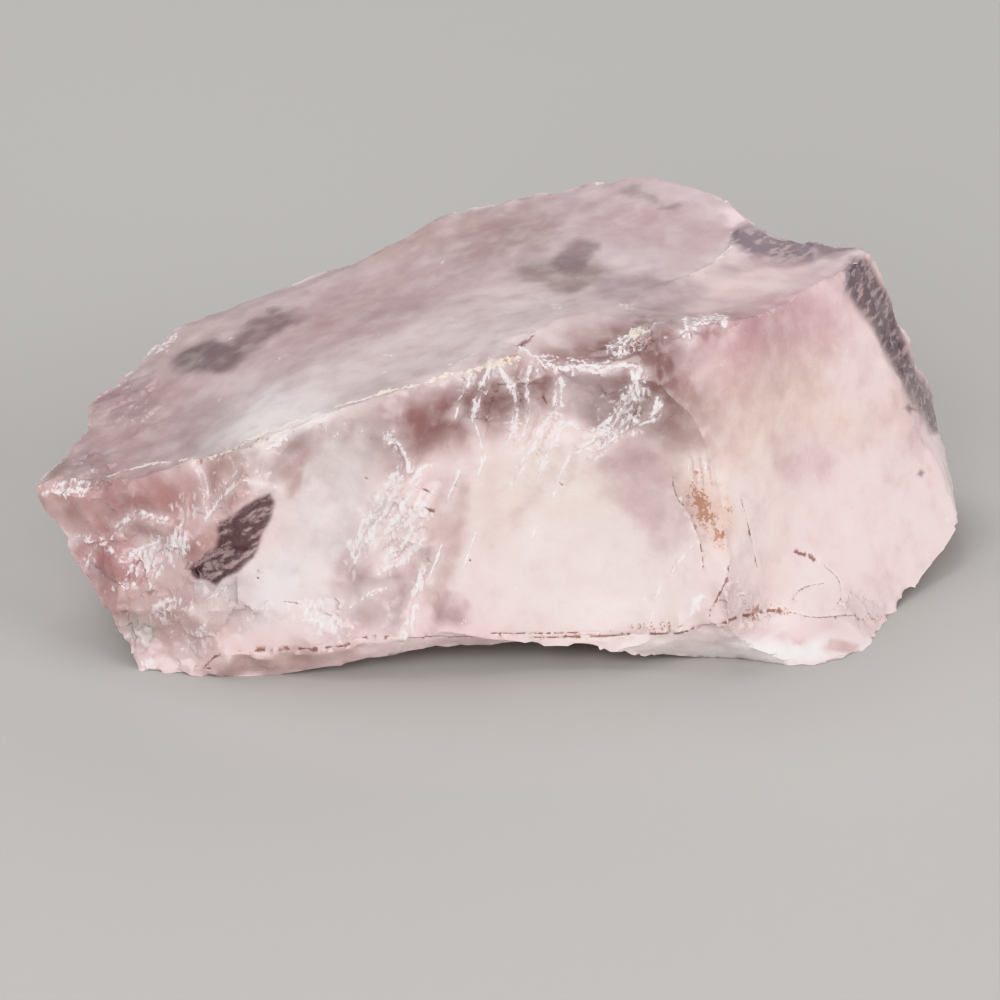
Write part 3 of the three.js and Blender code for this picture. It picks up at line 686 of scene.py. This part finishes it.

# Zones of colour on the side that the picture shows: the middle, then half the length
# and half the width in pixels, the length's angle, the colour in sRGB, and how much of it shows. Each
# lies over those before it. Most are the stone's own colour; the ones marked below are painted light
# and shade. The places are chosen one by one. Most of the colours were fitted by a program that compared
# the tones of a render and of the picture, zone by zone.
ZONES = {
    # Painted shade: the band under the ridge faces down, away from the light, and is painted dark.
    "band under the ridge": ((455, 405), (200, 40), 18, "#815b5a", 0.95),
    "band, left end": ((300, 438), (26, 18), 20, "#724b4a", 0.8),
    # Painted light: the broad hollow faces up and is painted pale, palest low in its middle where light
    # shines through.
    "broad hollow": ((585, 530), (140, 100), 0, "#d8cac3", 0.85),
    "palest of the hollow": ((590, 578), (105, 58), 0, "#e0d2d0", 0.95),
    "left of the broad hollow": ((445, 530), (22, 70), -8, "#ac9391", 0.7),
    "mauve patch at its foot": ((454, 610), (20, 20), 0, "#9d7f80", 0.8),
    "left hollow": ((325, 520), (95, 58), 72, "#d3c9c8", 0.95),
    "left hollow's foot": ((262, 590), (50, 34), 40, "#cfc9c9", 0.7),
    "mauve in the left hollow": ((352, 570), (26, 18), 60, "#b69a9c", 0.8),
    "right of the left hollow": ((380, 600), (30, 32), 60, "#9e8a8b", 0.6),
    # Painted shade: the triangle faces down like the band and is painted darker.
    "triangle under the lens": ((598, 396), (50, 34), 8, "#baa6a7", 0.95),
    "lens": ((590, 341), (74, 23), 3, "#836360", 0.95),
    # Painted light and shade on the right face: dark in its hollow at the upper left, growing paler towards
    # its foot.
    "right face, upper left": ((700, 372), (100, 68), 25, "#745350", 1.0),
    "right face, beside it": ((770, 350), (80, 60), 30, "#c2989e", 0.8),
    "right face, middle": ((800, 430), (100, 80), 0, "#d9c3b9", 0.75),
    "right face, cream": ((858, 378), (34, 44), 20, "#dac5c3", 0.8),
    "right face, foot": ((870, 530), (90, 90), 20, "#e4d1d0", 0.85),
    "right face, lilac": ((798, 462), (44, 30), 0, "#bea2a8", 0.4),
    "right face, fold": ((770, 520), (20, 90), 8, "#e4d1cb", 0.6),
    "flake": ((820, 592), (27, 24), 0, "#dbcbc9", 0.8),
    "right of the stain": ((745, 520), (24, 50), 5, "#dfcfcd", 0.6),
    "stained ground": ((704, 508), (28, 50), 25, "#dcbdad", 0.6),
    "lilac in the hollow": ((660, 505), (66, 34), -58, "#c0a9a9", 0.9),
    "lilac, upper end": ((622, 462), (30, 16), 0, "#b69b9e", 0.7),
    "left end": ((128, 500), (95, 32), 2, "#ac8381", 1.0),
    "left end, low": ((112, 566), (44, 34), -65, "#b2797a", 0.95),
    "left end, rim": ((112, 600), (16, 44), 28, "#967372", 0.8),
    "left foot": ((175, 615), (70, 44), -10, "#c2a4a1", 0.85),
    "left foot, greenish": ((140, 628), (20, 18), 0, "#b6afa8", 0.7),
    "facet above the window": ((228, 478), (22, 24), 10, "#b6938e", 0.9),
    "facet beside it": ((262, 462), (16, 20), 50, "#b5a3a3", 0.7),
    "pink beside the window": ((205, 545), (26, 15), 48, "#b48d8a", 0.9),
    "under the window": ((222, 588), (36, 12), 10, "#ccc0c2", 0.8),
    "brown above the window": ((256, 446), (24, 7), 38, "#8f6c62", 0.9),
    "brown end of the hollow": ((296, 474), (24, 10), 65, "#b39694", 0.8),
    # Painted light: the toe faces up and is painted pale.
    "right foot": ((770, 652), (130, 14), 0, "#e3dedd", 0.95),
    "right foot, oval mark": ((840, 648), (20, 9), 8, "#b39490", 0.8),
    "right foot, small mark": ((797, 637), (8, 3), -10, "#ab847d", 0.7),
    "left sill": ((275, 662), (80, 10), 8, "#a58884", 0.9),
    "top, left": ((130, 425), (90, 50), 32, "#b29697", 0.85),
    "top, grey left": ((205, 425), (34, 28), 0, "#af999a", 0.85),
    "top, rim at the left": ((190, 338), (80, 18), 32, "#c0aba9", 0.7),
    # Painted reflection: a pale veil of a softbox's gloss on the top, by the ridge and along its middle.
    "top, pale by the ridge": ((285, 412), (70, 26), 22, "#f3efec", 0.85),
    "top, pale middle": ((440, 350), (180, 36), 17, "#d3c2c1", 0.85),
    "top, mauve middle": ((360, 310), (120, 34), 20, "#b89b9c", 0.8),
    "top, grey rim": ((430, 232), (110, 18), 18, "#af9690", 0.7),
    "top, mauve further on": ((510, 235), (70, 24), 12, "#9f8382", 0.7),
    "top, right": ((665, 225), (90, 26), -8, "#b2999b", 0.9),
    "top, facet": ((740, 288), (80, 20), 22, "#cdb5b3", 0.95),
    "top, cream step": ((706, 268), (34, 7), 30, "#bda49b", 0.9),
    "top, rim of the right": ((745, 225), (26, 10), -35, "#f1d9dd", 0.8),
    "top, grey behind the nose": ((650, 293), (56, 18), 0, "#a28b8e", 0.8),
    "top, grey cloud": ((566, 272), (56, 16), 0, "#887772", 0.75),
    "top, smudge": ((574, 256), (26, 16), 30, "#725d61", 0.7),
    "top, dark spot": ((210, 358), (40, 15), 6, "#4a3839", 0.68),
    "top, second spot": ((262, 330), (38, 14), 24, "#5c4244", 0.62),
    "top, third spot": ((112, 396), (22, 10), 30, "#a8898e", 0.7),
    "top, fourth spot": ((58, 468), (16, 7), 30, "#98827a", 0.7),
    "top, spot at the far edge": ((640, 196), (22, 6), -10, "#918280", 0.6),
    "top, spot beside it": ((672, 204), (18, 5), 10, "#676365", 0.5),
    "top, by the crown": ((770, 262), (50, 8), 8, "#9d8284", 0.7),
}
# Frost, where the skin is crushed to white, and two painted highlights, in the same terms but for the
# colour.
FROST_AND_HIGHLIGHTS = {
    "painted highlight on the chip at the tip": ((70, 487), (30, 9), 9, 1.0),
    "chip at the back rim": ((165, 341), (15, 9), 32, 0.9),
    "white patch": ((322, 617), (33, 15), -22, 0.95),
    "beside the window": ((174, 546), (19, 20), -20, 0.9),
    "over the ledge": ((188, 506), (22, 14), 25, 0.5),
    "ribbed patch": ((144, 570), (17, 20), 20, 0.8),
    "under it": ((132, 585), (22, 8), 12, 0.7),
    "low on the left": ((168, 610), (24, 14), 10, 0.6),
    "flakes at the left foot": ((194, 642), (20, 15), 10, 0.5),
    "small chip": ((201, 629), (8, 5), 45, 0.9),
    "second small chip": ((224, 592), (6, 5), 0, 0.9),
    "toe": ((150, 664), (13, 6), -30, 0.7),
    "highlight": ((265, 475), (14, 5), -12, 0.6),
    "greenish foot": ((141, 630), (12, 14), 0, 0.35),
    "beside the ledge": ((366, 540), (38, 13), 62, 0.6),
    "between the hollows": ((404, 534), (46, 15), 56, 0.6),
    "triangle's edge": ((630, 408), (42, 12), 62, 0.7),
    "ledge under the lens": ((572, 361), (42, 6), -4, 0.6),
    "end of the lens": ((628, 345), (24, 10), 15, 0.8),
    "right of the nose": ((706, 321), (20, 7), 12, 0.8),
    "foot of the left hollow": ((265, 615), (28, 14), 0, 0.3),
    "speck on the top": ((387, 355), (3, 1.5), 0, 0.9),
    "second speck": ((558, 306), (10, 3), -10, 0.5),
    "third speck": ((628, 307), (10, 4), -10, 0.5),
}
# Ground that rust has grained, in the same terms as the frost.
RUST = {
    "beside the hollow": ((702, 508), (40, 13), -62, 1.0),
    "below it": ((720, 542), (14, 10), -70, 0.9),
    "ribs above it": ((702, 476), (22, 13), -20, 0.45),
    "above the hollow": ((645, 455), (12, 4), -20, 0.5),
    "right of the sill": ((760, 614), (34, 10), 12, 0.9),
    "toe": ((862, 616), (32, 6), -4, 0.5),
    "sill": ((600, 636), (110, 5), 2, 0.6),
    "sill under the patch": ((655, 630), (34, 7), 5, 0.8),
    "ledge top": ((428, 498), (6, 12), 20, 0.4),
    "crumbs at the nose": ((645, 342), (16, 6), 20, 0.6),
    "crumbs over the streaks": ((500, 360), (40, 7), 18, 0.5),
    "crumbs over the left": ((230, 450), (80, 6), 18, 0.45),
    "left of the lens": ((520, 345), (7, 9), 0, 0.5),
    "right of the stain": ((728, 512), (6, 26), 10, 0.5),
}


def linear(hex_colour):
    """An sRGB hex colour as linear red, green and blue."""
    parts = [int(hex_colour[i:i + 2], 16) / 255 for i in (1, 3, 5)]
    return [c / 12.92 if c < 0.04045 else ((c + 0.055) / 1.055) ** 2.4 for c in parts]


def blend(under, hex_colour, share):
    """The colours under, with each vertex's share of this colour laid over them."""
    return under + (np.array(linear(hex_colour)) - under) * share[:, None]


# The body's colour: mottled pink, more so where the camera doesn't see it, a painted grey sheen on faces
# that look up, then the zones, some of them painted light and shade, whose edges wander by some pixels,
# small clouds of milk, and a pale halo along the feathers.
WANDER = 8  # pixels
MILKY = "#dac3c2"
WIDE_ZONE = 60  # pixels of half length, past which a zone's edge is softer
warp_x = WANDER * cloud(points, 3.2, 3, 20.0)
warp_y = WANDER * cloud(points, 3.2, 3, 31.0)
mottle = cloud(points, 8, 3, 12.0)
upward = smoothstep(0.55, 0.85, normals[:, 2])
body = np.tile(linear(MILKY), (len(points), 1))
calm = 1 - 0.6 * seen
body = blend(body, "#eadad8", calm * smoothstep(0.0, 0.5, mottle))
body = blend(body, "#bd9c9b", 0.8 * calm * smoothstep(0.0, 0.7, -mottle))
# Painted reflection: faces that look up get a grey-mauve sheen of the sky.
body = blend(body, "#b5a3a7", 0.6 * upward)
for middle, halves, angle, colour, share in ZONES.values():
    soft = 0.3 if halves[0] > WIDE_ZONE else 0
    here = in_ellipse(column + warp_x, row + warp_y, middle, halves, angle, 1.25 + soft, 0.65 - soft)
    body = blend(body, colour, share * seen * here)
haze = cloud(points, 2.4, 4, 66.0)
body = blend(body, "#fbf0ec", 0.12 * smoothstep(0.0, 0.6, haze))
body = blend(body, "#9c7274", 0.12 * smoothstep(0.0, 0.6, -haze))
from_feather = np.where(feather_over < NOT_NEAR, feather_over * feather_width, NOT_NEAR)
halo = smoothstep(1.1, 0.1, from_feather + 0.35 * ragged)
body = blend(body, "#efe4e3", 0.28 * halo)
# The white of the crushed skin, with the painted highlights listed among it.
frost_and_highlights = np.zeros(len(points))
for middle, halves, angle, strength in FROST_AND_HIGHLIGHTS.values():
    here = in_ellipse(column + warp_x / 3, row + warp_y / 3, middle, halves, angle, 1.6, 0.4)
    frost_and_highlights = np.maximum(frost_and_highlights, strength * seen * smoothstep(0.4, 0.75, here + 0.6 * ragged))
rust = np.zeros(len(points))
for middle, halves, angle, strength in RUST.values():
    here = in_ellipse(column + warp_x / 2, row + warp_y / 2, middle, halves, angle, 1.3, 0.4)
    rust = np.maximum(rust, 0.8 * strength * seen * here)
rust = np.maximum(rust, 0.6 * (1 - seen) * smoothstep(0.35, 0.7, cloud(points, 6, 3, 55.0)))

# The windows: each is painted dark, standing for the shade seen through clear quartz, with pale streaks
# drawn out along its own angle.
STREAK_LENGTH = 1.5  # mm
STREAK_WIDTH = 0.36
STREAK_DEPTH = 1.1
clear = np.zeros(len(points))
for corners, fade, streak_angle, colour in WINDOWS.values():
    here = seen * in_outline(column + 0.5 * warp_x, row + 0.5 * warp_y, corners, fade)
    turn = math.radians(streak_angle)
    along = math.cos(turn) * RIGHT + math.sin(turn) * UP
    across = math.cos(turn) * UP - math.sin(turn) * RIGHT
    streaks = np.zeros(len(points))
    for i in np.flatnonzero(here > 0):
        point = Vector(points[i])
        stretched = Vector((point.dot(along) / STREAK_LENGTH, point.dot(across) / STREAK_WIDTH,
                            point.dot(FORWARD) / STREAK_DEPTH))
        streaks[i] = noise.fractal(stretched, 0.7, 2.0, 4)
    body = blend(body, colour, 0.9 * here)
    body = blend(body, "#cbafb0", 0.8 * here * smoothstep(0.0, 0.4, streaks))
    clear = np.maximum(clear, here)


def store(name, values):
    """Gives the mesh an attribute that the material reads, with one value for each vertex."""
    mesh.attributes.new(name, "FLOAT", "POINT").data.foreach_set("value", np.asarray(values, np.float32))


# White: the feathers and the crushed skin, with painted highlights among them.
white = np.maximum.reduce([feather, 0.75 * frost_and_highlights, 0.45 * cracked * (1 - clear)])
colours = mesh.color_attributes.new("body", "FLOAT_COLOR", "POINT")
colours.data.foreach_set("color", np.hstack([body, np.ones((len(points), 1))]).astype(np.float32).ravel())
# Dull is added to the roughness, and clear is the share of light that the quartz lets in.
store("white", 1.25 * white)
store("crumbs", 1.3 * crumbs)
store("rust", rust)
store("hair", hair * smoothstep(-0.5, 0.2, ragged))
store("dull", 0.15 * upward)
store("clear", 0.3 * smoothstep(0.1, 1.0, np.maximum(clear, 0.5 * broken)))

# Massive rose quartz, freshly broken: a soft gloss on its fractures, duller where handling has rubbed
# the top, white where it is crushed, with painted highlights in that white, and clear enough in a few
# windows to see into.
CLOUD_SIZE = 1.6 * MM  # small clouds of milk in the glass
SPLINTER_SIZE = 0.34 * MM  # crushed splinters, drawn coarser than they are so that they show
GRAIN_SIZE = 0.15 * MM  # grains of rust and dirt, drawn as coarse as they need to show
QUARTZ_IOR = 1.544
ABSORPTION = 25.0  # per metre
MILK_RELIEF = 0.04 * MM  # the bump that the small clouds give the fracture
material = bpy.data.materials.new("rose quartz, conchoidal fracture")
material.use_nodes = True
tree = material.node_tree
tree.nodes.clear()


def add(kind, inputs, output=0, **settings):
    """Adds a node with its settings, sets or links its inputs by name or number, and gives one output."""
    node = tree.nodes.new("ShaderNode" + kind)
    for name, value in settings.items():
        setattr(node, name, value)
    for key, value in inputs.items():
        if isinstance(value, bpy.types.NodeSocket):
            tree.links.new(value, node.inputs[key])
        else:
            node.inputs[key].default_value = value
    return node.outputs[output] if node.outputs else None


place = add("TexCoord", {}, "Object")
milk = add("TexNoise", {"Vector": place, "Scale": 1 / CLOUD_SIZE, "Detail": 2.5, "Roughness": 0.6})
# Two numbers from 0 to 1: one is the same all over each angular splinter, the other over each grain.
turned = add("Mapping", {"Vector": place, "Rotation": (0.4, 0.2, 0.7), "Scale": (1.5, 1.5, 0.6)})
cells = add("TexVoronoi", {"Vector": turned, "Scale": 1 / SPLINTER_SIZE}, "Color")
splinter = add("SeparateColor", {"Color": cells})
turned = add("Mapping", {"Vector": place, "Rotation": (0.9, 0.1, 0.3)})
cells = add("TexVoronoi", {"Vector": turned, "Scale": 1 / GRAIN_SIZE}, "Color")
grain = add("SeparateColor", {"Color": cells})

# Each attribute less such a number steers its paint, which so ends splinter by splinter or grain by
# grain. Rust is patchy as well.
white_left = add("Attribute", {}, "Fac", attribute_name="white")
white_left = add("Math", {0: white_left, 1: splinter}, operation="SUBTRACT")
crumbs_left = add("Attribute", {}, "Fac", attribute_name="crumbs")
crumbs_left = add("Math", {0: crumbs_left, 1: grain}, operation="SUBTRACT")
patchy = add("MapRange", {"Value": milk, "From Min": 0.35, "From Max": 0.6, "To Min": 0.4, "To Max": 1.1},
             interpolation_type="SMOOTHSTEP")
rust_left = add("Attribute", {}, "Fac", attribute_name="rust")
rust_left = add("Math", {0: rust_left, 1: patchy}, operation="MULTIPLY")
grit = add("Math", {0: splinter, 1: grain}, operation="ADD")
rust_left = add("Math", {0: grit, 1: -0.5, 2: rust_left}, operation="MULTIPLY_ADD")
hairlines = add("Attribute", {}, "Fac", attribute_name="hair")

# What is laid over the body's colour, in turn: what steers it, where it starts and is full, how much
# of it shows there, and its colour.
PAINTS = {
    "paler milk": (milk, 0.45, 0.75, 0.12, "#f3dedb"),
    "pinker glass": (milk, 0.5, 0.25, 0.15, "#8f5c5c"),
    # This white holds painted highlights as well.
    "crushed white and painted highlights": (white_left, -0.1, 0.8, 0.85, "#f4eeef"),
    "yellowish crumbs": (crumbs_left, 0.0, 0.4, 0.8, "#eee4d6"),
    "rust": (rust_left, -0.05, 0.25, 0.75, "#a06a4c"),
    "dirt in the cracks": (hairlines, 0.1, 0.8, 0.85, "#7d4f42"),
}
colour = add("Attribute", {}, "Color", attribute_name="body")
shares = {}
for name, (steer, start, full, most, hex_colour) in PAINTS.items():
    shares[name] = add("MapRange", {"Value": steer, "From Min": start, "From Max": full, "To Max": most},
                       interpolation_type="SMOOTHSTEP")
    colour = add("Mix", {0: shares[name], 6: colour, 7: (*linear(hex_colour), 1)}, 2, data_type="RGBA")

gloss = add("MapRange", {"Value": milk, "From Min": 0.3, "From Max": 0.7, "To Min": 0.2, "To Max": 0.32})
dull = add("Attribute", {}, "Fac", attribute_name="dull")
gloss = add("Math", {0: gloss, 1: dull}, operation="ADD")
crushed = add("Math", {0: shares["crushed white and painted highlights"], 1: shares["yellowish crumbs"]}, operation="ADD")
gloss = add("Math", {0: crushed, 1: 0.27, 2: gloss}, operation="MULTIPLY_ADD")
bump = add("Bump", {"Height": milk, "Distance": MILK_RELIEF, "Strength": 0.7})
clear_here = add("Attribute", {}, "Fac", attribute_name="clear")
quartz = add("BsdfPrincipled", {"Base Color": colour, "Roughness": gloss, "IOR": QUARTZ_IOR, "Normal": bump,
                                "Transmission Weight": clear_here})
pink_glass = add("VolumeAbsorption", {"Color": (0.9, 0.62, 0.62, 1), "Density": ABSORPTION})
add("OutputMaterial", {"Surface": quartz, "Volume": pink_glass})

stone.data.materials.append(material)
only(stone)
bpy.ops.object.shade_smooth_by_angle(angle=SOFT_SHADING)
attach(stone, "root")
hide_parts(NODE)

# The floor and the studio light
# A plain pale floor, an even pale sky and four softboxes, one of them faint and behind the stone.
FLOOR_WIDTH = 6  # metres
bpy.ops.mesh.primitive_plane_add(size=FLOOR_WIDTH, location=(0, 0, 0))
floor = bpy.context.active_object
floor.name = "floor"
paper = bpy.data.materials.new("pale matt paper")
paper.use_nodes = True
sheet = paper.node_tree.nodes["Principled BSDF"]
sheet.inputs["Base Color"].default_value = (*linear("#b5b2af"), 1)
sheet.inputs["Roughness"].default_value = 0.9
floor.data.materials.append(paper)

world = bpy.data.worlds.new("studio")
bpy.context.scene.world = world
world.use_nodes = True
sky = world.node_tree.nodes["Background"]
sky.inputs["Color"].default_value = (0.95, 0.97, 1, 1)
sky.inputs["Strength"].default_value = 0.28


def softbox(name, location, size, power):
    """A rectangular lamp, its size in metres and its power in watts, turned to the stone."""
    data = bpy.data.lights.new(name, "AREA")
    data.shape = "RECTANGLE"
    data.size, data.size_y = size
    data.energy = power
    lamp = bpy.data.objects.new(name, data)
    bpy.context.scene.collection.objects.link(lamp)
    lamp.location = location
    lamp.rotation_euler = (AIM - Vector(location)).to_track_quat("-Z", "Y").to_euler()


softbox("key", (-0.25, -0.8, 0.45), (0.8, 0.6), 6.6)
softbox("right fill", (0.75, -0.45, 0.3), (0.8, 0.5), 5.5)
softbox("overhead", (-0.3, 0.1, 0.8), (0.7, 0.7), 3.6)
softbox("back", (0.3, 0.6, 0.45), (0.7, 0.4), 1.1)
